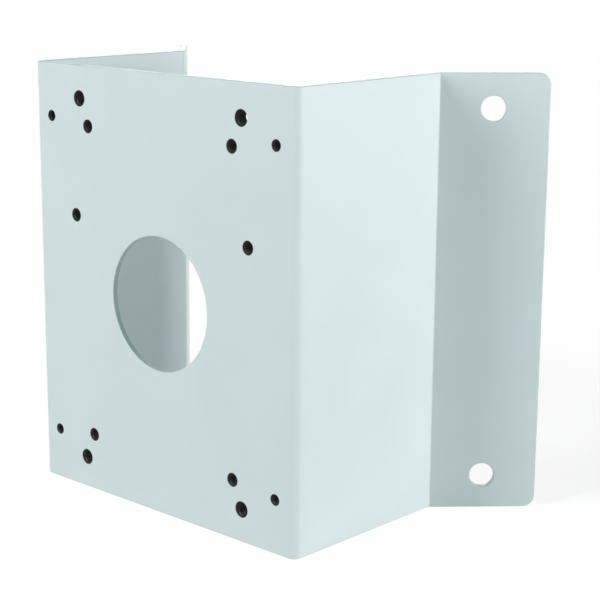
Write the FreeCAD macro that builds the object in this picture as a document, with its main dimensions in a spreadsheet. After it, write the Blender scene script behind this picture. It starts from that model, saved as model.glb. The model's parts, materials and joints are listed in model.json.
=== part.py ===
import FreeCAD, Part
import Sketcher
import math
import os

# Camera corner bracket: one piece of folded steel sheet. A flat front plate carries the camera, two webs
# run back from its sides, and two flanges turn outwards to lie on the two walls of a building corner.
# Millimetres. The body's frame has its origin in the middle of the front plate's outer face: X runs along
# the plate, Y points back towards the building and Z points up.

os.makedirs("parts", exist_ok=True)
doc = FreeCAD.newDocument("camera_corner_bracket")

# Driving dimensions, angles in degrees
driving = {
    # folded sheet
    "sheetThickness": 2.5,
    "bendRadius": 1.0,            # inside radius of all four folds
    "plateWidth": 150.0,          # over the outside of both webs
    "plateHeight": 180.0,
    "webDepth": 82.0,             # front face to the theoretical corner where the flange turns out
    "flangeWidth": 44.0,          # theoretical corner to the flange's free edge, on the visible side
    "flangeAngle": 45.0,          # flange against the front plate, half of the building's right angle
    "flangeCornerRadius": 5.0,
    "edgeRadius": 0.5,            # cut outline of the sheet, deburred and coated
    "rimChamfer": 0.4,            # both rims of the large holes
    # cable hole in the front plate
    "cableHoleDiameter": 55.0,
    "cableHoleDrop": 2.0,         # middle of the plate down to the hole's centre
    # wall fixing holes, two in each flange
    "wallHoleDiameter": 10.0,
    "wallHoleFromEnd": 14.0,      # top or bottom of the flange to the hole's centre
    "wallHoleFromEdge": 22.5,     # flange's free edge to the hole's centre
    # tapped holes: thread diameters, and the collars that are drawn out of the sheet behind them
    "mainThread": 6.0,
    "innerThread": 5.0,
    "outerThread": 4.0,
    "pairThread": 5.0,
    "collarWall": 1.5,
    "collarHeight": 3.5,
    "collarRoot": 0.6,            # slope where a collar leaves the sheet
    "countersinkDepth": 0.4,
    # where the tapped holes stand, measured from the outside of a web and from the top or bottom
    "mainFromSide": 28.5,
    "mainFromEnd": 13.5,
    "innerBesideMain": 5.0,       # the inner holes stand this much nearer the middle than the main ones
    "innerBeyondMain": 11.0,      # and this much farther from the top or bottom
    "outerFromSide": 10.5,
    "outerFromEnd": 22.0,
    "pairFromSide": 25.0,
    "pairHeight": 28.0,           # above the middle of the plate
}

sizes = doc.addObject("Spreadsheet::Sheet", "Sizes")
for row, (alias, value) in enumerate(driving.items(), start=1):
    sizes.set("A%d" % row, alias)
    sizes.set("B%d" % row, str(value))
    sizes.setAlias("B%d" % row, alias)
doc.recompute()

body = doc.addObject("PartDesign::Body", "CornerBracket")
body.Label = "corner_bracket"

# How a sketch numbers the points of a curve, and its own axes
start, end, centre = range(1, 4)
verticalAxis, horizontalAxis = range(-2, 0)
sketchOrigin = horizontalAxis
normal = FreeCAD.Vector(0, 0, 1)
sameLength = 1e-6                 # lengths that differ by less are equal


def size(alias):
    return float(sizes.get(alias))


def originPlane(role):
    for feature in body.Origin.OriginFeatures:
        if feature.Role == role:
            return feature
    raise ValueError("no origin plane " + role)


def newSketch(name, role):
    sketch = body.newObject("Sketcher::SketchObject", name)
    sketch.AttachmentSupport = [(originPlane(role), "")]
    sketch.MapMode = "FlatFace"
    return sketch


def dimension(sketch, name, expression, *reference):
    # a named dimension whose value follows the sheet of sizes
    index = sketch.addConstraint(Sketcher.Constraint(*reference))
    sketch.renameConstraint(index, name)
    sketch.setExpression("Constraints." + name, expression)


def recomputed(feature):
    doc.recompute()
    if not feature.isValid() or feature.Shape.isNull():
        raise ValueError(feature.Label + " could not be built")
    return feature


def changed(feature, adds):
    # a pad has to add to the sheet, and a cut has to take away from it
    recomputed(feature)
    growth = feature.Shape.Volume - feature.BaseFeature.Shape.Volume
    if abs(growth) < sameLength or (growth > 0) != adds:
        raise ValueError(feature.Label + " points the wrong way")
    return feature


def edgesOf(feature, isWanted):
    names = []
    for number, edge in enumerate(feature.Shape.Edges, start=1):
        if isWanted(edge):
            names.append("Edge%d" % number)
    if not names:
        raise ValueError("no edge to round on " + feature.Label)
    return names


def rounded(name, base, isWanted, radius):
    fillet = body.newObject("PartDesign::Fillet", name)
    fillet.Base = (base, edgesOf(base, isWanted))
    fillet.setExpression("Radius", "Sizes." + radius)
    return changed(fillet, adds=False)


def chamfered(name, base, isWanted, width, adds):
    chamfer = body.newObject("PartDesign::Chamfer", name)
    chamfer.Base = (base, edgesOf(base, isWanted))
    chamfer.setExpression("Size", "Sizes." + width)
    return changed(chamfer, adds)


def mirrored(name, feature, adds):
    # the same feature on the left half
    mirror = body.newObject("PartDesign::Mirrored", name)
    mirror.Originals = [feature]
    mirror.MirrorPlane = (originPlane("YZ_Plane"), [""])
    body.Tip = mirror
    return changed(mirror, adds)


def point(x, y):
    return FreeCAD.Vector(x, y, 0)


# Section of the folded sheet, right half, seen from above. The outer line runs from the middle of the
# front face round the front fold, back along the web and out along the flange. The inner line runs beside
# it at sheet thickness. Each fold is a pair of arcs about one centre.
def halfSection():
    thickness = size("sheetThickness")
    inside = size("bendRadius")
    outside = inside + thickness
    webX = size("plateWidth") / 2
    angle = math.radians(size("flangeAngle"))
    turn = math.pi / 2 - angle
    setback = inside * math.tan(turn / 2)
    along = point(math.cos(angle), math.sin(angle))
    across = point(-math.sin(angle), math.cos(angle)) * thickness
    frontFold = point(webX - outside, outside)
    backFold = point(webX + inside, size("webDepth") - setback)
    flangeStart = point(webX, size("webDepth")) + along * setback
    flangeTip = point(webX, size("webDepth")) + along * size("flangeWidth")

    def arc(middle, radius, fromAngle, toAngle):
        return Part.ArcOfCircle(Part.Circle(middle, normal, radius), fromAngle, toAngle)

    sketch = newSketch("HalfSection", "XY_Plane")
    outline = [
        Part.LineSegment(point(0, 0), point(frontFold.x, 0)),
        arc(frontFold, outside, -math.pi / 2, 0),
        Part.LineSegment(point(webX, outside), point(webX, backFold.y)),
        arc(backFold, inside, math.pi - turn, math.pi),
        Part.LineSegment(flangeStart, flangeTip),
        Part.LineSegment(flangeTip, flangeTip + across),
        Part.LineSegment(flangeTip + across, flangeStart + across),
        arc(backFold, outside, math.pi - turn, math.pi),
        Part.LineSegment(point(webX - thickness, backFold.y), point(webX - thickness, outside)),
        arc(frontFold, inside, -math.pi / 2, 0),
        Part.LineSegment(point(frontFold.x, thickness), point(0, thickness)),
        Part.LineSegment(point(0, thickness), point(0, 0)),
    ]
    (plateFront, frontArc, webOuter, backArc, flangeOuter, flangeEnd,
     flangeInner, backInnerArc, webInner, frontInnerArc, plateBack, middleCut) = range(len(outline))
    for piece in outline:
        sketch.addGeometry(piece, False)

    for link in (
        ("Tangent", plateFront, end, frontArc, start),
        ("Tangent", frontArc, end, webOuter, start),
        ("Tangent", webOuter, end, backArc, end),
        ("Tangent", backArc, start, flangeOuter, start),
        ("Coincident", flangeOuter, end, flangeEnd, start),
        ("Coincident", flangeEnd, end, flangeInner, start),
        ("Tangent", flangeInner, end, backInnerArc, start),
        ("Tangent", backInnerArc, end, webInner, start),
        ("Tangent", webInner, end, frontInnerArc, end),
        ("Tangent", frontInnerArc, start, plateBack, start),
        ("Coincident", plateBack, end, middleCut, start),
        ("Coincident", middleCut, end, plateFront, start),
        ("Coincident", frontArc, centre, frontInnerArc, centre),
        ("Coincident", backArc, centre, backInnerArc, centre),
        ("Coincident", plateFront, start, sketchOrigin, start),
        ("Horizontal", plateFront),
        ("Horizontal", plateBack),
        ("Vertical", webOuter),
        ("Vertical", webInner),
        ("Vertical", middleCut),
        ("Perpendicular", flangeOuter, flangeEnd),
        ("Parallel", flangeOuter, flangeInner),
    ):
        sketch.addConstraint(Sketcher.Constraint(*link))

    foldSetback = "Sizes.bendRadius * tan(45deg - Sizes.flangeAngle * 0.5deg)"
    dimension(sketch, "thickness", "Sizes.sheetThickness", "Distance", middleCut, thickness)
    dimension(sketch, "frontBend", "Sizes.bendRadius", "Radius", frontInnerArc, inside)
    dimension(sketch, "backBend", "Sizes.bendRadius", "Radius", backArc, inside)
    dimension(sketch, "halfWidth", "Sizes.plateWidth / 2",
              "DistanceX", sketchOrigin, start, webOuter, start, webX)
    dimension(sketch, "foldDepth", "Sizes.webDepth - " + foldSetback,
              "DistanceY", sketchOrigin, start, backArc, centre, backFold.y)
    dimension(sketch, "flangeStraight", "Sizes.flangeWidth - " + foldSetback,
              "Distance", flangeOuter, size("flangeWidth") - setback)
    dimension(sketch, "flangeTurn", "Sizes.flangeAngle * 1deg",
              "Angle", horizontalAxis, start, flangeOuter, start, angle)
    return sketch


half = body.newObject("PartDesign::Pad", "HalfSheet")
half.Profile = halfSection()
half.SideType = "Symmetric"
half.setExpression("Length", "Sizes.plateHeight")
recomputed(half)
sheetMetal = mirrored("FoldedSheet", half, adds=True)

# The four free corners of the flanges are rounded: short edges across the sheet at the flange ends
flangeEndX = (size("plateWidth") / 2 + size("flangeWidth") * math.cos(math.radians(size("flangeAngle")))
              - size("sheetThickness"))


def isFlangeCorner(edge):
    isLevel = edge.BoundBox.ZMax - edge.BoundBox.ZMin < sameLength
    isAcross = abs(edge.Length - size("sheetThickness")) < sameLength
    return isLevel and isAcross and abs(edge.CenterOfMass.x) > flangeEndX


corners = rounded("FlangeCorners", sheetMetal, isFlangeCorner, "flangeCornerRadius")


# Holes in the front plate, drawn on its outer face, stand in the four quarters or the two halves of the
# plate. The first circle of a group has the sizes, and the others are tied to it.
def groupOfCircles(name, across, up, diameter, ties):
    sketch = newSketch(name, "XZ_Plane")
    radius = size("cableHoleDiameter") / 2
    places = [point(x, y) for y in (radius, -radius) for x in (radius, -radius)]
    for place in places[:len(ties) + 1]:
        sketch.addGeometry(Part.Circle(place, normal, radius), False)
    for first, second, axis in ties:
        sketch.addConstraint(Sketcher.Constraint("Symmetric", first, centre, second, centre, axis))
        sketch.addConstraint(Sketcher.Constraint("Equal", first, second))
    dimension(sketch, "across", across, "DistanceX", sketchOrigin, start, 0, centre, radius)
    dimension(sketch, "up", up, "DistanceY", sketchOrigin, start, 0, centre, radius)
    dimension(sketch, "diameter", diameter, "Diameter", 0, radius)
    return sketch


quarters = ((0, 1, verticalAxis), (0, 2, horizontalAxis), (1, 3, horizontalAxis))
halves = ((0, 1, verticalAxis),)
webSide = "Sizes.plateWidth / 2 - "
plateEnd = "Sizes.plateHeight / 2 - "
mainAcross = webSide + "Sizes.mainFromSide"
mainUp = plateEnd + "Sizes.mainFromEnd"
tappedGroups = (
    ("Main", "mainThread", mainAcross, mainUp, quarters),
    ("Inner", "innerThread", mainAcross + " - Sizes.innerBesideMain", mainUp + " - Sizes.innerBeyondMain",
     quarters),
    ("Outer", "outerThread", webSide + "Sizes.outerFromSide", plateEnd + "Sizes.outerFromEnd", quarters),
    ("Pair", "pairThread", webSide + "Sizes.pairFromSide", "Sizes.pairHeight", halves),
)

# Collars: the sheet is drawn back round every thread
for name, thread, across, up, ties in tappedGroups:
    collarDiameter = "Sizes.%s + 2 * Sizes.collarWall" % thread
    collars = body.newObject("PartDesign::Pad", name + "Collars")
    collars.Profile = groupOfCircles(name + "CollarSketch", across, up, collarDiameter, ties)
    collars.setExpression("Length", "Sizes.sheetThickness + Sizes.collarHeight")
    collars.Reversed = True
    changed(collars, adds=True)


def isAtDepth(edge, depth):
    return abs(edge.BoundBox.YMin - depth) < sameLength and abs(edge.BoundBox.YMax - depth) < sameLength


def isFullCircle(edge):
    return edge.isClosed() and edge.Curve.TypeId == "Part::GeomCircle"


def isCollarRoot(edge):
    return isAtDepth(edge, size("sheetThickness")) and isFullCircle(edge)


collarRoots = chamfered("CollarRoots", collars, isCollarRoot, "collarRoot", adds=True)

# Threaded holes, at the thread's outer diameter, with a countersunk mouth
for name, thread, across, up, ties in tappedGroups:
    tapped = body.newObject("PartDesign::Hole", name + "Threads")
    tapped.Profile = groupOfCircles(name + "ThreadSketch", across, up, "Sizes." + thread, ties)
    recomputed(tapped)
    tapped.DepthType = "ThroughAll"
    tapped.setExpression("Diameter", "Sizes." + thread)
    tapped.HoleCutType = "Countersink"
    tapped.HoleCutCustomValues = True
    tapped.setExpression("HoleCutDiameter", "Sizes.%s + 2 * Sizes.countersinkDepth" % thread)
    tapped.HoleCutCountersinkAngle = 90
    changed(tapped, adds=False)

# Cable hole, round, a little below the middle of the plate
cableSketch = newSketch("CableHoleSketch", "XZ_Plane")
cableCentre = point(0, -size("cableHoleDrop"))
cableSketch.addGeometry(Part.Circle(cableCentre, normal, size("cableHoleDiameter") / 2), False)
cableSketch.addConstraint(Sketcher.Constraint("PointOnObject", 0, centre, verticalAxis))
dimension(cableSketch, "drop", "Sizes.cableHoleDrop",
          "DistanceY", 0, centre, sketchOrigin, start, size("cableHoleDrop"))
dimension(cableSketch, "diameter", "Sizes.cableHoleDiameter", "Diameter", 0, size("cableHoleDiameter"))
cableHole = body.newObject("PartDesign::Pocket", "CableHole")
cableHole.Profile = cableSketch
cableHole.setExpression("Length", "Sizes.sheetThickness")
changed(cableHole, adds=False)

# Wall fixing holes: the sketch lies on the visible side of the right flange, its X axis along the flange
wallSketch = newSketch("WallHoleSketch", "XZ_Plane")
wallSketch.AttachmentOffset = FreeCAD.Placement(
    FreeCAD.Vector(size("plateWidth") / 2, 0, -size("webDepth")),
    FreeCAD.Rotation(FreeCAD.Vector(0, 1, 0), size("flangeAngle")))
wallSketch.setExpression("AttachmentOffset.Base.x", "Sizes.plateWidth / 2")
wallSketch.setExpression("AttachmentOffset.Base.z", "-Sizes.webDepth")
wallSketch.setExpression("AttachmentOffset.Rotation.Angle", "Sizes.flangeAngle * 1deg")
alongFlange = size("flangeWidth") - size("wallHoleFromEdge")
aboveMiddle = size("plateHeight") / 2 - size("wallHoleFromEnd")
for height in (aboveMiddle, -aboveMiddle):
    wallHole = Part.Circle(point(alongFlange, height), normal, size("wallHoleDiameter") / 2)
    wallSketch.addGeometry(wallHole, False)
wallSketch.addConstraint(Sketcher.Constraint("Symmetric", 0, centre, 1, centre, horizontalAxis))
wallSketch.addConstraint(Sketcher.Constraint("Equal", 0, 1))
dimension(wallSketch, "fromFold", "Sizes.flangeWidth - Sizes.wallHoleFromEdge",
          "DistanceX", sketchOrigin, start, 0, centre, alongFlange)
dimension(wallSketch, "up", "Sizes.plateHeight / 2 - Sizes.wallHoleFromEnd",
          "DistanceY", sketchOrigin, start, 0, centre, aboveMiddle)
dimension(wallSketch, "diameter", "Sizes.wallHoleDiameter", "Diameter", 0, size("wallHoleDiameter"))
wallHoles = body.newObject("PartDesign::Pocket", "WallHoles")
wallHoles.Profile = wallSketch
wallHoles.setExpression("Length", "Sizes.sheetThickness")
changed(wallHoles, adds=False)
allWallHoles = mirrored("WallHolesLeft", wallHoles, adds=False)


# Rims of the cable hole, midway between the webs, and of the wall holes, outside the webs, are
# chamfered on both sides of the sheet
def isLargeRim(edge):
    fromMiddle = abs(edge.CenterOfMass.x)
    isCableHole = fromMiddle < sameLength
    isWallHole = fromMiddle > size("plateWidth") / 2
    return isFullCircle(edge) and (isCableHole or isWallHole)


rims = chamfered("LargeRims", allWallHoles, isLargeRim, "rimChamfer", adds=False)


# The cut outline is rounded on both skins of the sheet. A fillet follows smooth joints, so one edge at the
# top of each skin carries it all the way round.
def isTopOfPlate(edge):
    isAtTop = abs(edge.CenterOfMass.z - size("plateHeight") / 2) < sameLength
    return isAtTop and (isAtDepth(edge, 0) or isAtDepth(edge, size("sheetThickness")))


body.Tip = rounded("CutOutline", rims, isTopOfPlate, "edgeRadius")

# Part frame: the origin is under the middle of the bracket's box, on the surface that it stands on. The
# box ends at the flanges' rounded wall side corners.
overallDepth = ("Sizes.webDepth + Sizes.flangeWidth * sin(Sizes.flangeAngle * 1deg)"
                " + Sizes.sheetThickness * cos(Sizes.flangeAngle * 1deg)"
                " - Sizes.edgeRadius * (sin(Sizes.flangeAngle * 1deg) + cos(Sizes.flangeAngle * 1deg) - 1)")
body.setExpression("Placement.Base.y", "-(%s) / 2" % overallDepth)
body.setExpression("Placement.Base.z", "Sizes.plateHeight / 2")
doc.recompute()

for item in doc.Objects:
    if "Invalid" in item.State or "Error" in item.State:
        raise ValueError(item.Label + " did not rebuild")
if body.Shape.isNull() or not body.Shape.isValid() or len(body.Shape.Solids) != 1:
    raise ValueError("the bracket is not one valid solid")
box = body.Shape.optimalBoundingBox(False, False)
print("bracket %.2f x %.2f x %.2f mm" % (box.XLength, box.YLength, box.ZLength))
print("volume %.1f cm3" % (body.Shape.Volume / 1000))
body.Shape.exportStep(os.path.join("parts", body.Label + ".step"))
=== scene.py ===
import json
import math
import bpy
import numpy as np
from mathutils import Matrix, Vector
from mathutils.geometry import delaunay_2d_cdt


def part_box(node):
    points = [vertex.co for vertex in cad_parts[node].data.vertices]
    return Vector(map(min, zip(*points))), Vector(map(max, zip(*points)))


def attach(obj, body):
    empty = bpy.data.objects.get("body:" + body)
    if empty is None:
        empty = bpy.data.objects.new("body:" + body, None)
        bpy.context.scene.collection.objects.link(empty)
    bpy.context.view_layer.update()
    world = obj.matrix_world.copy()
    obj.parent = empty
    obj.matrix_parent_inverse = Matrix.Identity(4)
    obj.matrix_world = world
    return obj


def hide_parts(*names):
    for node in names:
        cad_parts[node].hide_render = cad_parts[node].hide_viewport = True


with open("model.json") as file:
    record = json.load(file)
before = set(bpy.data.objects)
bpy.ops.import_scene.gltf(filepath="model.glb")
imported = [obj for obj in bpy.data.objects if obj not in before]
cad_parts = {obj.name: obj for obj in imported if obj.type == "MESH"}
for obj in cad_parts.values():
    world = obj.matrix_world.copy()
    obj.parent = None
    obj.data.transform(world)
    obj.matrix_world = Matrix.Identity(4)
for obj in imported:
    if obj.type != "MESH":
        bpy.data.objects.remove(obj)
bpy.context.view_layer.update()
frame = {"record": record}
low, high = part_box("corner_bracket")
mounts = {mount["name"]: mount for mount in frame["record"]["mounts"]}
print("frame loaded, bracket", [round((b - a) * 1000, 1) for a, b in zip(low, high)], "mm")

# The folded sheet, metres and degrees
sheet = {
    "thickness": 0.0025,
    "bendRadius": 0.001,        # inside of all four folds
    "plateWidth": 0.150,        # over the outside of both webs
    "webDepth": 0.082,          # front face to the corner where a flange turns out
    "flangeWidth": 0.044,       # that corner to the flange's free edge
    "flangeAngle": 45,          # flange against the front plate
    "cornerRadius": 0.005,      # flange corners, seen flat
    "edgeRadius": 0.0005,       # cut outline under the coat
    "rimRadius": 0.0004,        # rims of the cable hole and the wall holes
    "frontFoldSteps": 14,
    "backFoldSteps": 8,
    "cornerSteps": 12,
    "edgeSteps": 5,
    "pitch": 0.007,             # spacing of the points on the flat skins
    "rowShare": 0.866,          # spacing of their staggered rows, in pitches
    "clearShare": 0.45,         # what they keep clear of edges, holes and folds, in pitches
    "cableSteps": 160,
    "wallSteps": 72,
}

# Drawn and tapped collars, metres. Pitches are the coarse ones of M6, M5 and M4.
collar = {
    "wall": 0.0015,
    "height": 0.0035,           # behind the sheet
    "rootRadius": 0.0007,
    "endRadius": 0.0004,
    "countersink": 0.0004,
    "lip": 0.0001,              # rounding between the countersink and the front face
    "tailChamfer": 0.00025,
    "pitches": {3.0: 0.001, 2.5: 0.0008, 2.0: 0.0007},
    "threadDepth": 0.5413,      # of an inside thread, in pitches
    "rootHalf": 1 / 16,         # half of the flat at the root, in pitches
    "flank": 5 / 16,            # along the hole, in pitches
    "steps": {3.0: 56, 2.5: 52, 2.0: 48},
    "arcSteps": 4,
    "sprayReach": 0.0004,       # how far coat dust gets into a thread from behind
    "bareMouth": 0.6,           # share of the countersink that the coat leaves bare, its dark metal partly painted shade of the hole
    "crease": 32,               # degrees
}

thickness = sheet["thickness"]
inside = sheet["bendRadius"]
outside = inside + thickness
halfWidth = sheet["plateWidth"] / 2
flangeHeading = math.radians(sheet["flangeAngle"])
frontTurn = math.pi / 2
backTurn = frontTurn - flangeHeading
setback = inside * math.tan(backTurn / 2)
runs = np.array([
    halfWidth - outside,                        # half of the front plate
    (inside + thickness / 2) * frontTurn,       # front fold, along the middle of the sheet
    sheet["webDepth"] - setback - outside,      # web
    (inside + thickness / 2) * backTurn,        # back fold
    sheet["flangeWidth"] - setback,             # flange
])
stations = np.cumsum(runs)
collarEnd = thickness + collar["height"]


# Everything is worked out on the flat sheet: s along it from the middle, n into it from the outer skin, and
# z up. Folding follows the outer skin's line, a straight run or an arc at a time, and sets n off square to
# it. Directions turn with the line.
def foldUp(flat, facing):
    side = np.sign(flat[:, 0])
    along = np.abs(flat[:, 0])
    spans = zip(stations, runs)
    plate, front, web, back, flange = [np.clip(along - end + run, 0, run) for end, run in spans]
    frontAngle = front / runs[1] * frontTurn
    backAngle = back / runs[3] * backTurn
    x = (plate + outside * np.sin(frontAngle) + inside * (1 - np.cos(backAngle))
         + flange * math.cos(flangeHeading))
    y = (outside * (1 - np.cos(frontAngle)) + web + inside * np.sin(backAngle)
         + flange * math.sin(flangeHeading))
    heading = frontAngle - backAngle
    x = (x - flat[:, 1] * np.sin(heading)) * side
    y = y + flat[:, 1] * np.cos(heading) + low.y
    turn = heading * side
    normalX = facing[:, 0] * np.cos(turn) - facing[:, 1] * np.sin(turn)
    normalY = facing[:, 0] * np.sin(turn) + facing[:, 1] * np.cos(turn)
    return np.stack([x, y, flat[:, 2]], 1), np.stack([normalX, normalY, facing[:, 2]], 1)


def unit(vector):
    return vector / np.linalg.norm(vector)


def rotated(direction, angles):
    # one direction turned by each of the angles, anticlockwise
    c, s = np.cos(angles), np.sin(angles)
    return np.stack([direction[0] * c - direction[1] * s, direction[0] * s + direction[1] * c], -1)


# A line through corners with an arc at each inner one. An arc is the tangent point plus the radius times the
# change in the left hand direction. The facing is the right hand direction.
def roundedLine(corners, radii, steps):
    corners = np.array(corners, float)
    first, last = unit(corners[1] - corners[0]), unit(corners[-1] - corners[-2])
    points, facing = [corners[:1]], [[[first[1], -first[0]]]]
    for before, corner, after, radius in zip(corners, corners[1:], corners[2:], radii):
        into, away = unit(corner - before), unit(after - corner)
        turn = math.atan2(into[0] * away[1] - into[1] * away[0], into @ away)
        way = rotated(into, np.linspace(0, turn, steps + 1))
        left = np.stack([-way[:, 1], way[:, 0]], 1)
        begin = corner - into * radius * math.tan(abs(turn) / 2)
        points.append(begin + math.copysign(radius, turn) * (left[0] - left))
        facing.append(-left)
    points.append(corners[-1:])
    facing.append([[last[1], -last[0]]])
    return np.concatenate(points), np.concatenate(facing)


def circleDirections(steps):
    angles = np.linspace(0, 2 * math.pi, steps + 1)
    return np.stack([np.cos(angles), np.sin(angles)], 1)


patches = []


def addPatch(flat, facing, faces, material=0, spray=1.0, creased=False):
    # spray is how fully the coat covers each point, and faces turn to look the way their points face
    flat, facing, faces = flat.reshape(-1, 3), facing.reshape(-1, 3), np.array(faces)
    a, b, c = flat[faces[:, 0]], flat[faces[:, 1]], flat[faces[:, 2]]
    d = flat[faces[:, -1]]
    looks = np.cross(c - a, d - b) if faces.shape[1] == 4 else np.cross(b - a, c - a)
    if np.sum(looks * facing[faces[:, 0]]) < 0:
        faces = faces[:, ::-1]
    spray = np.broadcast_to(np.asarray(spray, float).reshape(-1), len(flat))
    patches.append({"flat": flat, "facing": facing, "faces": faces,
                    "material": material, "spray": spray, "creased": creased})


def gridFaces(rows, columns):
    corner = (np.arange(rows - 1)[:, None] * columns + np.arange(columns - 1)).reshape(-1)
    return np.stack([corner, corner + 1, corner + columns + 1, corner + columns], 1)


# A profile of offset and depth carried along a path: at each path point the offset goes along its outward
# direction, and the depth goes into the sheet.
def carry(path, outward, profile, facing, material=0, spray=1.0):
    offset, depth = profile[:, 0], profile[:, 1]
    flat = np.stack([
        path[:, None, 0] + outward[:, None, 0] * offset,
        np.broadcast_to(depth, (len(path), len(depth))),
        path[:, None, 1] + outward[:, None, 1] * offset,
    ], -1)
    turned = np.stack([
        outward[:, None, 0] * facing[:, 0],
        np.broadcast_to(facing[:, 1], (len(path), len(depth))),
        outward[:, None, 1] * facing[:, 0],
    ], -1)
    spray = np.broadcast_to(spray, (len(path), len(depth)))
    addPatch(flat, turned, gridFaces(len(path), len(depth)), material, spray)


# Sheet outline on the flat: straight runs with points at every fold line, and four rounded corners. Each
# corner is its centre plus the radius times the direction.
foldLines = np.concatenate([
    np.linspace(stations[0], stations[1], sheet["frontFoldSteps"] + 1),
    np.linspace(stations[2], stations[3], sheet["backFoldSteps"] + 1),
])


def evenly(start, stop):
    return np.linspace(start, stop, max(2, round(abs(stop - start) / sheet["pitch"]) + 1))


def sheetOutline():
    radius = sheet["cornerRadius"]
    halfLength = stations[4] - radius
    rightHalf = np.unique(np.concatenate([
        evenly(0, stations[0]),
        evenly(stations[1], stations[2]),
        evenly(stations[3], halfLength),
        foldLines,
    ]))
    across = np.concatenate([-rightHalf[:0:-1], rightHalf])
    up = evenly(low.z + radius, high.z - radius)
    corner = np.linspace(0, math.pi / 2, sheet["cornerSteps"] + 1)
    path, outward = [], []
    sides = (
        (np.stack([across, np.full(len(across), low.z)], 1), (halfLength, low.z + radius)),
        (np.stack([np.full(len(up), stations[4]), up], 1), (halfLength, high.z - radius)),
        (np.stack([across[::-1], np.full(len(across), high.z)], 1), (-halfLength, high.z - radius)),
        (np.stack([np.full(len(up), -stations[4]), up[::-1]], 1), (-halfLength, low.z + radius)),
    )
    for quarter, (run, centre) in enumerate(sides):
        direction = rotated(np.array([0.0, -1.0]), quarter * math.pi / 2 + corner)
        path += [run, centre + radius * direction[1:-1]]
        outward += [np.broadcast_to(direction[0], run.shape), direction[1:-1]]
    path, outward = np.concatenate(path), np.concatenate(outward)
    return np.concatenate([path, path[:1]]), np.concatenate([outward, outward[:1]])


def cutOutline():
    path, outward = sheetOutline()
    radius = sheet["edgeRadius"]
    profile = roundedLine([(-radius, 0), (0, 0), (0, thickness), (-radius, thickness)],
                          [radius, radius], sheet["edgeSteps"])
    carry(path, outward, *profile)
    return path[:-1] - radius * outward[:-1]


def largeRim(centre, radius, steps):
    rim = sheet["rimRadius"]
    profile = roundedLine([(radius + rim, thickness), (radius, thickness), (radius, 0), (radius + rim, 0)],
                          [rim, rim], sheet["edgeSteps"])
    outward = circleDirections(steps)
    carry(np.broadcast_to(centre, outward.shape), outward, *profile)
    opening = (centre, radius + rim, steps)
    return opening, opening


# A thread's surface: over a pitch the radius is the thread's outer one at the root, falls along a straight
# flank and stays at the crest. Cones at the mouth and the tail cut the ridges away.
def threadRadius(depth, turns, radius, pitch):
    start, stop = collar["countersink"], collarEnd - collar["tailChamfer"]
    phase = (depth - start) / pitch + turns
    fromRoot = np.abs((phase + 0.5) % 1 - 0.5)
    rise = np.clip((fromRoot - collar["rootHalf"]) / collar["flank"], 0, 1)
    ridge = radius - collar["threadDepth"] * pitch * rise
    return np.maximum(ridge, radius - np.minimum(depth - start, stop - depth))


def thread(centre, radius, pitch, steps):
    # rows follow the helix: both ends of the root, the middle of a flank, both ends of the crest and the
    # middle of the next flank. Rows past the ends lie on the end rings.
    start, stop = collar["countersink"], collarEnd - collar["tailChamfer"]
    root, flank = collar["rootHalf"], collar["flank"]
    crest = root + flank
    corners = np.array([-root, root, root + flank / 2, crest, 1 - crest, 1 - root - flank / 2])
    turnsNeeded = math.ceil((stop - start) / pitch) + 1
    rows = (np.arange(turnsNeeded + 1)[:, None] + corners).reshape(-1, 1)
    turns = np.linspace(0, 1, steps + 1)
    depth = np.clip(start + (rows - turns) * pitch, start, stop)
    turns = np.broadcast_to(turns, depth.shape)
    r = threadRadius(depth, turns, radius, pitch)
    c, s = np.cos(turns * 2 * math.pi), np.sin(turns * 2 * math.pi)
    flat = np.stack([centre[0] + r * c, depth, centre[1] + r * s], -1)
    inward = np.stack([-c, np.zeros_like(depth), -s], -1)
    spray = np.clip(1 - (stop - depth) / collar["sprayReach"], 0, 1)
    addPatch(flat, inward, gridFaces(*depth.shape), material=1, spray=spray, creased=True)


def tappedCollar(centre, radius):
    # back skin, root, collar wall and end face down to the thread, then from the thread out of the mouth,
    # where the coat ends part of the way up the countersink
    key = round(radius * 1000, 1)
    wall = radius + collar["wall"]
    root = wall + collar["rootRadius"]
    tail, sink, lip = collar["tailChamfer"], collar["countersink"], collar["lip"]
    mouth = radius + sink + lip
    outward = circleDirections(collar["steps"][key])
    path = np.broadcast_to(centre, outward.shape)
    behind = [(root, thickness), (wall, thickness), (wall, collarEnd), (radius + tail, collarEnd),
              (radius, collarEnd - tail)]
    radii = [collar["rootRadius"], collar["endRadius"], lip]
    carry(path, outward, *roundedLine(behind, radii, collar["arcSteps"]))
    countersink = [(radius, sink), (radius + sink, 0), (mouth, 0)]
    profile, facing = roundedLine(countersink, [lip], collar["arcSteps"])
    share = (profile[:, 0] - radius) / sink
    bare = collar["bareMouth"]
    carry(path, outward, profile, facing, material=1, spray=(share - bare) / (1 - bare))
    thread(centre, radius, collar["pitches"][key], collar["steps"][key])
    return (centre, mouth, collar["steps"][key]), (centre, root, collar["steps"][key])


def patternPlaces(mount):
    # the plate's hole patterns, in the row frame's x and z
    x, z = mount["pos_m"][0], mount["pos_m"][2]
    across = mount["dims"]["spacing_x_mm"] / 2000
    up = mount["dims"].get("spacing_y_mm", 0) / 2000
    return [np.array([x + i * across, z + j * up]) for i in (-1, 1) for j in ((-1, 1) if up else (0,))]


def wallPlaces(mount):
    # a flange's holes on the flat sheet: along the flange from the fold, and up
    x, y, z = mount["pos_m"]
    side = math.copysign(1, x)
    along = ((abs(x) - halfWidth) * math.cos(flangeHeading)
             + (y - low.y - sheet["webDepth"]) * math.sin(flangeHeading))
    s = side * (stations[3] + along - setback)
    up = mount["dims"]["pcd_mm"] / 2000
    return [np.array([s, z + j * up]) for j in (-1, 1)]


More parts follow.
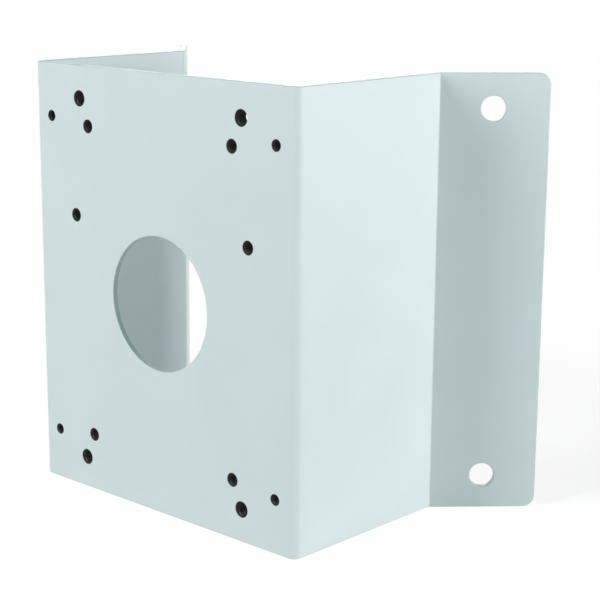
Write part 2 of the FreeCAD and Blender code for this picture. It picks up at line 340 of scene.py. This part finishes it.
# A flat skin: points inside the outline on fold lines and on a staggered lattice, joined to the edge loops
# by Delaunay's rule. Triangles inside a hole's ring are left out.
def skin(loop, openings, depth):
    pitch = sheet["pitch"]
    top = sheet["edgeRadius"]
    lines = np.concatenate([foldLines, -foldLines])
    rows = evenly(low.z + top, high.z - top)[1:-1]
    onFolds = np.stack(np.meshgrid(lines, rows, indexing="ij"), -1).reshape(-1, 2)
    half = int(stations[4] / pitch) + 1
    levels = int((high.z - low.z) / (pitch * sheet["rowShare"]))
    i, j = np.meshgrid(np.arange(-half, half + 1), np.arange(levels), indexing="ij")
    height = low.z + (j + 0.5) * pitch * sheet["rowShare"]
    lattice = np.stack([(i + 0.5 * (j % 2)) * pitch, height], -1).reshape(-1, 2)
    along = np.abs(lattice[:, 0])
    clear = sheet["clearShare"] * pitch
    keep = (along < stations[4] - clear) & (lattice[:, 1] < high.z - clear)
    for begin, finish in ((stations[0], stations[1]), (stations[2], stations[3])):
        keep &= (along < begin - clear) | (along > finish + clear)
    for centre, radius, _ in openings:
        keep &= np.linalg.norm(lattice - centre, axis=1) > radius + clear
    loops = [loop] + [centre + radius * circleDirections(steps)[:-1] for centre, radius, steps in openings]
    points = np.concatenate(loops + [onFolds, lattice[keep]])
    edges, first = [], 0
    for ring in loops:
        ids = first + np.arange(len(ring))
        edges.append(np.stack([ids, np.roll(ids, -1)], 1))
        first += len(ring)
    columns = first + np.arange(len(onFolds)).reshape(len(lines), len(rows))
    edges.append(np.stack([columns[:, :-1].reshape(-1), columns[:, 1:].reshape(-1)], 1))
    for line, column in zip(lines, columns):
        atLine = np.flatnonzero(np.abs(loop[:, 0] - line) < 1e-7)
        foot = atLine[np.argsort(loop[atLine, 1])]
        edges.append(np.array([[foot[0], column[0]], [column[-1], foot[-1]]]))
    # the fill works to single precision, so it gets millimetres
    filled = delaunay_2d_cdt([Vector(p) for p in points * 1000], np.concatenate(edges).tolist(), [], 0, 1e-6)
    origin = np.array([ids[0] for ids in filled[3]])
    faces = origin[np.array(filled[2])]
    middle = points[faces].mean(1)
    for centre, radius, steps in openings:
        faces = faces[np.linalg.norm(middle - centre, axis=1) > radius * math.cos(math.pi / steps)]
        middle = points[faces].mean(1)
    flat = np.stack([points[:, 0], np.full(len(points), depth), points[:, 1]], 1)
    facing = np.tile([0.0, 1.0 if depth else -1.0, 0.0], (len(points), 1))
    addPatch(flat, facing, faces)


# Corner directions of creased faces: at each point, the mean of the faces round it that turn less than the
# crease from the corner's own face, weighted by area.
def creasedNormals(places, faces, crease):
    corners = np.array([len(face) for face in faces])
    ids = np.concatenate(faces)
    begin = np.cumsum(corners) - corners
    after = np.arange(len(ids)) + 1
    after[begin + corners - 1] = begin
    twice = np.add.reduceat(np.cross(places[ids], places[ids[after]]), begin)
    twice = np.repeat(twice, corners, axis=0)
    straight = twice / np.linalg.norm(twice, axis=1, keepdims=True)
    order = np.argsort(ids, kind="stable")
    ids, twice, straight = ids[order], twice[order], straight[order]
    total = twice.copy()
    for shift in range(1, np.bincount(ids).max()):
        alike = np.sum(straight[shift:] * straight[:-shift], 1) > math.cos(crease)
        near = (ids[shift:] == ids[:-shift]) & alike
        total[shift:][near] += twice[:-shift][near]
        total[:-shift][near] += twice[shift:][near]
    normals = np.empty_like(total)
    normals[order] = total / np.linalg.norm(total, axis=1, keepdims=True)
    return normals


# Patches become one closed mesh: points that coincide are joined, facings of smooth faces are averaged, and
# faces that have shrunk to a line are left out. Thread faces are creased.
def joined(name, materials):
    offsets = np.cumsum([0] + [len(patch["flat"]) for patch in patches])
    flat = np.concatenate([patch["flat"] for patch in patches])
    smooth = np.concatenate([patch["facing"] * (not patch["creased"]) for patch in patches])
    spray = np.concatenate([patch["spray"] for patch in patches])
    cells = np.round(flat * 1e8).astype(np.int64)       # points within 0.01 micrometres are one
    _, first, same = np.unique(cells, axis=0, return_index=True, return_inverse=True)
    same = same.reshape(-1)
    total = np.zeros((len(first), 3))
    np.add.at(total, same, smooth)
    total /= np.maximum(np.linalg.norm(total, axis=1, keepdims=True), 1e-9)
    places, normals = foldUp(flat[first], total)
    faces, owners, creased = [], [], []
    for patch, offset in zip(patches, offsets):
        for face in same[patch["faces"] + offset].tolist():
            corners = list(dict.fromkeys(face))
            if len(corners) > 2:
                faces.append(corners)
                owners.append(patch["material"])
                creased.append(patch["creased"])
    atCrease = np.repeat(creased, [len(face) for face in faces])
    cornerNormals = normals[np.concatenate(faces)]
    threadFaces = [face for face, isCreased in zip(faces, creased) if isCreased]
    cornerNormals[atCrease] = creasedNormals(places, threadFaces, math.radians(collar["crease"]))
    mesh = bpy.data.meshes.new(name)
    mesh.from_pydata(places, [], faces)
    mesh.polygons.foreach_set("material_index", owners)
    mesh.polygons.foreach_set("use_smooth", [True] * len(faces))
    mesh.attributes.new("spray", "FLOAT", "POINT").data.foreach_set("value", spray[first])
    # the rim is one half way round an edge, and none on the skins and the cut faces
    rim = 4 * total[:, 1] ** 2 * (1 - total[:, 1] ** 2)
    mesh.attributes.new("rim", "FLOAT", "POINT").data.foreach_set("value", rim)
    mesh.normals_split_custom_set(cornerNormals)
    for material in materials:
        mesh.materials.append(material)
    piece = bpy.data.objects.new(name, mesh)
    bpy.context.scene.collection.objects.link(piece)
    print(name, len(places), "points", len(faces), "faces")
    return piece


# Shader helpers: a node with its settings, and a socket list for a group
def addNode(tree, kind, at, inputs=None, **settings):
    node = tree.nodes.new("ShaderNode" + kind)
    node.location = at
    for name, value in settings.items():
        setattr(node, name, value)
    for name, value in (inputs or {}).items():
        node.inputs[name].default_value = value
    return node


def newGroup(name, inputs, outputs):
    group = bpy.data.node_groups.new(name, "ShaderNodeTree")
    for socket, kind in inputs:
        group.interface.new_socket(socket, in_out="INPUT", socket_type="NodeSocket" + kind)
    for socket, kind in outputs:
        group.interface.new_socket(socket, in_out="OUTPUT", socket_type="NodeSocket" + kind)
    begin = group.nodes.new("NodeGroupInput")
    begin.location = (-900, 0)
    finish = group.nodes.new("NodeGroupOutput")
    finish.location = (700, 0)
    return group, begin, finish


def newMaterial(name):
    material = bpy.data.materials.new(name)
    material.use_nodes = True
    tree = material.node_tree
    tree.nodes.clear()
    return material, tree


# Cured powder: rounded orange peel, a finer grain in it, and slow drifts of thickness and gloss
powder = {
    "peel": {"Detail": 1.5, "Roughness": 0.45},
    "grain": {"Detail": 2.0, "Roughness": 0.6},
    "drift": {"Detail": 3.0, "Roughness": 0.5, "Distortion": 0.4},
    "grainInHeight": 0.22,
    "grainInTone": 0.3,
    "peelInGloss": 0.5,
}


def coatGrainGroup():
    group, begin, finish = newGroup(
        "coatGrain",
        [("Vector", "Vector"), ("Peel", "Float"), ("Grain", "Float"), ("Drift", "Float")],
        [("Height", "Float"), ("Tone", "Float"), ("Gloss", "Float")])
    link = group.links.new
    peel = addNode(group, "TexNoise", (-500, 300), powder["peel"])
    grain = addNode(group, "TexNoise", (-500, 0), powder["grain"])
    drift = addNode(group, "TexNoise", (-500, -300), powder["drift"])
    for node, socket in ((peel, "Peel"), (grain, "Grain"), (drift, "Drift")):
        scale = addNode(group, "Math", (-700, node.location.y), {0: 1.0}, operation="DIVIDE")
        link(begin.outputs[socket], scale.inputs[1])
        link(scale.outputs[0], node.inputs["Scale"])
        link(begin.outputs["Vector"], node.inputs["Vector"])
    height = addNode(group, "Mix", (-100, 200), {"Factor": powder["grainInHeight"]}, data_type="FLOAT")
    link(peel.outputs["Fac"], height.inputs["A"])
    link(grain.outputs["Fac"], height.inputs["B"])
    tone = addNode(group, "Mix", (-100, -50), {"Factor": powder["grainInTone"]}, data_type="FLOAT")
    link(drift.outputs["Fac"], tone.inputs["A"])
    link(grain.outputs["Fac"], tone.inputs["B"])
    gloss = addNode(group, "Mix", (-100, -300), {"Factor": powder["peelInGloss"]}, data_type="FLOAT")
    link(drift.outputs["Fac"], gloss.inputs["A"])
    link(peel.outputs["Fac"], gloss.inputs["B"])
    for node, socket in ((height, "Height"), (tone, "Tone"), (gloss, "Gloss")):
        link(node.outputs["Result"], finish.inputs[socket])
    return group


coat = {
    "light": (0.840, 0.886, 0.889, 1),
    "dark": (0.804, 0.850, 0.854, 1),
    "edge": (0.744, 0.790, 0.796, 1),       # thinner coat round the edges
    "edgeShare": 0.35,
    "peel": 0.0019,                         # metres between bumps
    "grain": 0.00045,
    "drift": 0.035,
    "noiseRange": (0.3, 0.7),               # noise values at the ends of a tone or a gloss
    "roughness": (0.36, 0.46),
    "peelHeight": 0.000022,                 # metres
}


def grainNode(tree, group, at, coordinates):
    node = tree.nodes.new("ShaderNodeGroup")
    node.node_tree = group
    node.location = at
    for socket, value in (("Peel", coat["peel"]), ("Grain", coat["grain"]), ("Drift", coat["drift"])):
        node.inputs[socket].default_value = value
    tree.links.new(coordinates.outputs["Object"], node.inputs["Vector"])
    return node


def coatColour(tree, grain, at):
    # light and dark coat by the drift, and a thinner tone on the edges
    link = tree.links.new
    tone = addNode(tree, "Mix", at, {"A": coat["dark"], "B": coat["light"]}, data_type="RGBA")
    least, most = coat["noiseRange"]
    spread = addNode(tree, "MapRange", (at[0] - 200, at[1]), {"From Min": least, "From Max": most})
    link(grain.outputs["Tone"], spread.inputs["Value"])
    link(spread.outputs["Result"], tone.inputs["Factor"])
    rim = addNode(tree, "Attribute", (at[0] - 200, at[1] + 300), attribute_name="rim")
    share = addNode(tree, "Math", (at[0], at[1] + 300), {1: coat["edgeShare"]}, operation="MULTIPLY")
    link(rim.outputs["Fac"], share.inputs[0])
    colour = addNode(tree, "Mix", (at[0] + 200, at[1]), {"B": coat["edge"]}, data_type="RGBA")
    link(share.outputs[0], colour.inputs["Factor"])
    link(tone.outputs["Result"], colour.inputs["A"])
    return colour


def powderCoat(grainGroup):
    material, tree = newMaterial("powderCoat")
    link = tree.links.new
    coordinates = addNode(tree, "TexCoord", (-1200, 0))
    grain = grainNode(tree, grainGroup, (-1000, 0), coordinates)
    colour = coatColour(tree, grain, (-500, 200))
    least, most = coat["noiseRange"]
    glossy, matt = coat["roughness"]
    rough = addNode(tree, "MapRange", (-500, -150),
                    {"From Min": least, "From Max": most, "To Min": glossy, "To Max": matt})
    bump = addNode(tree, "Bump", (-500, -450), {"Strength": 1.0, "Distance": coat["peelHeight"]})
    shader = addNode(tree, "BsdfPrincipled", (0, 0), {"IOR": 1.5})
    output = addNode(tree, "OutputMaterial", (300, 0))
    link(grain.outputs["Gloss"], rough.inputs["Value"])
    link(grain.outputs["Height"], bump.inputs["Height"])
    link(colour.outputs["Result"], shader.inputs["Base Color"])
    link(rough.outputs["Result"], shader.inputs["Roughness"])
    link(bump.outputs["Normal"], shader.inputs["Normal"])
    link(shader.outputs["BSDF"], output.inputs["Surface"])
    return material


# Bare phosphated metal in the threads, painted near black partly as the shade inside the deep tapped holes,
# with coat on the outer part of the countersink and dust of it behind
steelAndShade = {
    # thread metal tones, darkened as painted shade of the holes
    "light": (0.052, 0.053, 0.055, 1),
    "dark": (0.014, 0.015, 0.016, 1),
    "cutMarks": 0.00012,        # metres between marks
    "roughness": 0.45,
    "markHeight": 0.000006,     # metres
    "ragged": 0.5,              # how far the coat's grain moves the coat's border
    "border": (0.35, 0.75),     # cover at which the coat begins to show and is full
}


def cutThread(grainGroup):
    material, tree = newMaterial("cutThread")
    link = tree.links.new
    coordinates = addNode(tree, "TexCoord", (-1200, 0))
    grain = grainNode(tree, grainGroup, (-1000, 0), coordinates)
    colour = coatColour(tree, grain, (-500, 500))
    marks = addNode(tree, "TexNoise", (-1000, -400), {"Scale": 1 / steelAndShade["cutMarks"], "Detail": 2.0})
    link(coordinates.outputs["Object"], marks.inputs["Vector"])
    # dark thread metal with cut marks, its darkness partly painted shade of the holes
    metal = addNode(tree, "Mix", (-500, -300), {"A": steelAndShade["dark"], "B": steelAndShade["light"]}, data_type="RGBA")
    link(marks.outputs["Fac"], metal.inputs["Factor"])
    spray = addNode(tree, "Attribute", (-1000, -700), attribute_name="spray")
    ragged = steelAndShade["ragged"]
    edge = addNode(tree, "Math", (-800, -700), {1: ragged, 2: -ragged / 2}, operation="MULTIPLY_ADD")
    link(grain.outputs["Height"], edge.inputs[0])
    cover = addNode(tree, "Math", (-600, -700), operation="ADD")
    link(spray.outputs["Fac"], cover.inputs[0])
    link(edge.outputs[0], cover.inputs[1])
    begin, full = steelAndShade["border"]
    mask = addNode(tree, "MapRange", (-400, -700), {"From Min": begin, "From Max": full},
                   interpolation_type="SMOOTHSTEP")
    link(cover.outputs[0], mask.inputs["Value"])
    mixed = addNode(tree, "Mix", (-200, 200), data_type="RGBA")
    link(mask.outputs["Result"], mixed.inputs["Factor"])
    link(metal.outputs["Result"], mixed.inputs["A"])
    link(colour.outputs["Result"], mixed.inputs["B"])
    bare = addNode(tree, "Math", (-200, -100), {0: 1.0}, operation="SUBTRACT")
    link(mask.outputs["Result"], bare.inputs[1])
    rough = addNode(tree, "Mix", (-200, -300), {"A": steelAndShade["roughness"], "B": coat["roughness"][1]},
                    data_type="FLOAT")
    link(mask.outputs["Result"], rough.inputs["Factor"])
    bump = addNode(tree, "Bump", (-200, -550), {"Strength": 1.0, "Distance": steelAndShade["markHeight"]})
    link(marks.outputs["Fac"], bump.inputs["Height"])
    shader = addNode(tree, "BsdfPrincipled", (100, 0), {"IOR": 1.5})
    output = addNode(tree, "OutputMaterial", (400, 0))
    link(mixed.outputs["Result"], shader.inputs["Base Color"])
    link(bare.outputs[0], shader.inputs["Metallic"])
    link(rough.outputs["Result"], shader.inputs["Roughness"])
    link(bump.outputs["Normal"], shader.inputs["Normal"])
    link(shader.outputs["BSDF"], output.inputs["Surface"])
    return material


def makeBracket():
    loop = cutOutline()
    cableHole = mounts["cable_hole"]
    x, _, z = cableHole["pos_m"]
    openings = [largeRim(np.array([x, z]), cableHole["dims"]["r_mm"] / 1000, sheet["cableSteps"])]
    for name, mount in mounts.items():
        if mount["kind"] != "bolt_pattern":
            continue
        radius = mount["dims"]["hole_r_mm"] / 1000
        if "pcd_mm" in mount["dims"]:
            openings += [largeRim(place, radius, sheet["wallSteps"]) for place in wallPlaces(mount)]
        else:
            openings += [tappedCollar(place, radius) for place in patternPlaces(mount)]
    skin(loop, [front for front, _ in openings], 0)
    skin(loop, [back for _, back in openings], thickness)
    grainGroup = coatGrainGroup()
    piece = joined("foldedSheet", [powderCoat(grainGroup), cutThread(grainGroup)])
    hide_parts("corner_bracket")
    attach(piece, "root")


makeBracket()


# Plain pale floor. The camera and mirrors see it as white, except for the bracket's soft shadow close by.
floorLook = {
    "size": 8.0,
    "grain": 60.0,              # noise scale
    "colour": (0.62, 0.62, 0.62, 1),
    "refraction": 1.3,
    "roughness": (0.75, 0.9),
    "lift": 0.76,               # light added for the camera and mirrors
    "liftColour": (1.0, 0.93, 0.925, 1),    # warm, so that the cool surround leaves the shadow grey
    "shadowReach": (0.14, 0.34),            # from the bracket's middle, over which the shadow fades out
}


# How much a ray is one that should see the white background: from the camera, off gloss or through glass
def seenWhite(tree, at):
    path = addNode(tree, "LightPath", at)
    mirrored = addNode(tree, "Math", (at[0] + 200, at[1]), operation="MAXIMUM")
    tree.links.new(path.outputs["Is Camera Ray"], mirrored.inputs[0])
    tree.links.new(path.outputs["Is Glossy Ray"], mirrored.inputs[1])
    seen = addNode(tree, "Math", (at[0] + 400, at[1]), operation="MAXIMUM")
    tree.links.new(mirrored.outputs[0], seen.inputs[0])
    tree.links.new(path.outputs["Is Transmission Ray"], seen.inputs[1])
    return seen


def makeFloor():
    half = floorLook["size"] / 2
    mesh = bpy.data.meshes.new("floor")
    corners = [(-half, -half, low.z), (half, -half, low.z), (half, half, low.z), (-half, half, low.z)]
    mesh.from_pydata(corners, [], [(0, 1, 2, 3)])
    floor = bpy.data.objects.new("floor", mesh)
    bpy.context.scene.collection.objects.link(floor)
    material, tree = newMaterial("paleFloor")
    link = tree.links.new
    coordinates = addNode(tree, "TexCoord", (-900, 0))
    noise = addNode(tree, "TexNoise", (-700, 0), {"Scale": floorLook["grain"], "Detail": 4.0})
    smooth, rough = floorLook["roughness"]
    gloss = addNode(tree, "MapRange", (-450, -50), {"To Min": smooth, "To Max": rough})
    shader = addNode(tree, "BsdfPrincipled", (-200, 100),
                     {"Base Color": floorLook["colour"], "IOR": floorLook["refraction"]})
    lift = addNode(tree, "Emission", (-200, -250),
                   {"Color": floorLook["liftColour"], "Strength": floorLook["lift"]})
    lifted = addNode(tree, "AddShader", (50, -100))
    near, far = floorLook["shadowReach"]
    distance = addNode(tree, "VectorMath", (-700, -400), operation="LENGTH")
    fade = addNode(tree, "MapRange", (-450, -400), {"From Min": near, "From Max": far},
                   interpolation_type="SMOOTHSTEP")
    white = addNode(tree, "Emission", (50, -300), {"Strength": 1.0})
    background = addNode(tree, "MixShader", (250, -100))
    mixed = addNode(tree, "MixShader", (450, 100))
    output = addNode(tree, "OutputMaterial", (650, 100))
    link(coordinates.outputs["Object"], noise.inputs["Vector"])
    link(noise.outputs["Fac"], gloss.inputs["Value"])
    link(gloss.outputs["Result"], shader.inputs["Roughness"])
    link(shader.outputs["BSDF"], lifted.inputs[0])
    link(lift.outputs["Emission"], lifted.inputs[1])
    link(coordinates.outputs["Object"], distance.inputs[0])
    link(distance.outputs["Value"], fade.inputs["Value"])
    link(fade.outputs["Result"], background.inputs["Fac"])
    link(lifted.outputs["Shader"], background.inputs[1])
    link(white.outputs["Emission"], background.inputs[2])
    link(seenWhite(tree, (-200, 450)).outputs[0], mixed.inputs["Fac"])
    link(shader.outputs["BSDF"], mixed.inputs[1])
    link(background.outputs["Shader"], mixed.inputs[2])
    link(mixed.outputs["Shader"], output.inputs["Surface"])
    mesh.materials.append(material)


makeFloor()
print("floor made")

# Studio: a key lamp in front, two low lamps on the right that light the web and leave the flange darker, one
# behind on the left for the wall side, and a dim cool surround. Metres and watts.
studio = {
    "surround": (0.0, 0.10, 0.105, 1),
    "lamps": {
        "front": {"place": (-0.30, -1.40, 0.55), "size": (0.35, 0.8), "power": 13.3},
        "right": {"place": (2.23, 0.38, 0.28), "size": (0.5, 0.5), "power": 23.6},
        "rearRight": {"place": (1.60, 1.35, 0.155), "size": (0.42, 0.3), "power": 9.2},
        "rearLeft": {"place": (-1.00, 1.10, 0.60), "size": (0.6, 0.6), "power": 4.5},
    },
}


def makeStudio():
    world = bpy.data.worlds.new("surround")
    bpy.context.scene.world = world
    world.use_nodes = True
    tree = world.node_tree
    tree.nodes.clear()
    link = tree.links.new
    dim = addNode(tree, "Background", (0, 0), {"Color": studio["surround"]})
    white = addNode(tree, "Background", (0, -150), {"Color": (1, 1, 1, 1)})
    mixed = addNode(tree, "MixShader", (250, 50))
    output = addNode(tree, "OutputWorld", (450, 50))
    link(seenWhite(tree, (-400, 200)).outputs[0], mixed.inputs["Fac"])
    link(dim.outputs["Background"], mixed.inputs[1])
    link(white.outputs["Background"], mixed.inputs[2])
    link(mixed.outputs["Shader"], output.inputs["Surface"])
    middle = (low + high) / 2
    for name, lamp in studio["lamps"].items():
        light = bpy.data.lights.new(name, "AREA")
        light.shape = "RECTANGLE"
        light.size, light.size_y = lamp["size"]
        light.energy = lamp["power"]
        holder = bpy.data.objects.new(name, light)
        holder.location = lamp["place"]
        holder.rotation_euler = (middle - holder.location).to_track_quat("-Z", "Y").to_euler()
        bpy.context.scene.collection.objects.link(holder)


makeStudio()
print("studio lit")

# Camera where the photograph was taken, found from the bracket's corners in it. The lens is in millimetres.
view = {
    "place": (0.4720, -0.4834, 0.2378),
    "target": (-0.0001, 0.0257, 0.0761),
    "roll": 0.41,
    "lens": 97.9,
    "sensor": 36.0,
    "nearest": 0.01,
}


def makeCamera():
    data = bpy.data.cameras.new("camera")
    data.lens = view["lens"]
    data.sensor_width = view["sensor"]
    data.clip_start = view["nearest"]
    camera = bpy.data.objects.new("camera", data)
    place, target = Vector(view["place"]), Vector(view["target"])
    look = (target - place).to_track_quat("-Z", "Y").to_matrix()
    roll = Matrix.Rotation(math.radians(view["roll"]), 3, "Z")
    camera.matrix_world = Matrix.Translation(place) @ (look @ roll).to_4x4()
    bpy.context.scene.collection.objects.link(camera)
    bpy.context.scene.camera = camera


makeCamera()
bpy.context.scene.view_settings.view_transform = "Standard"
print("camera placed")
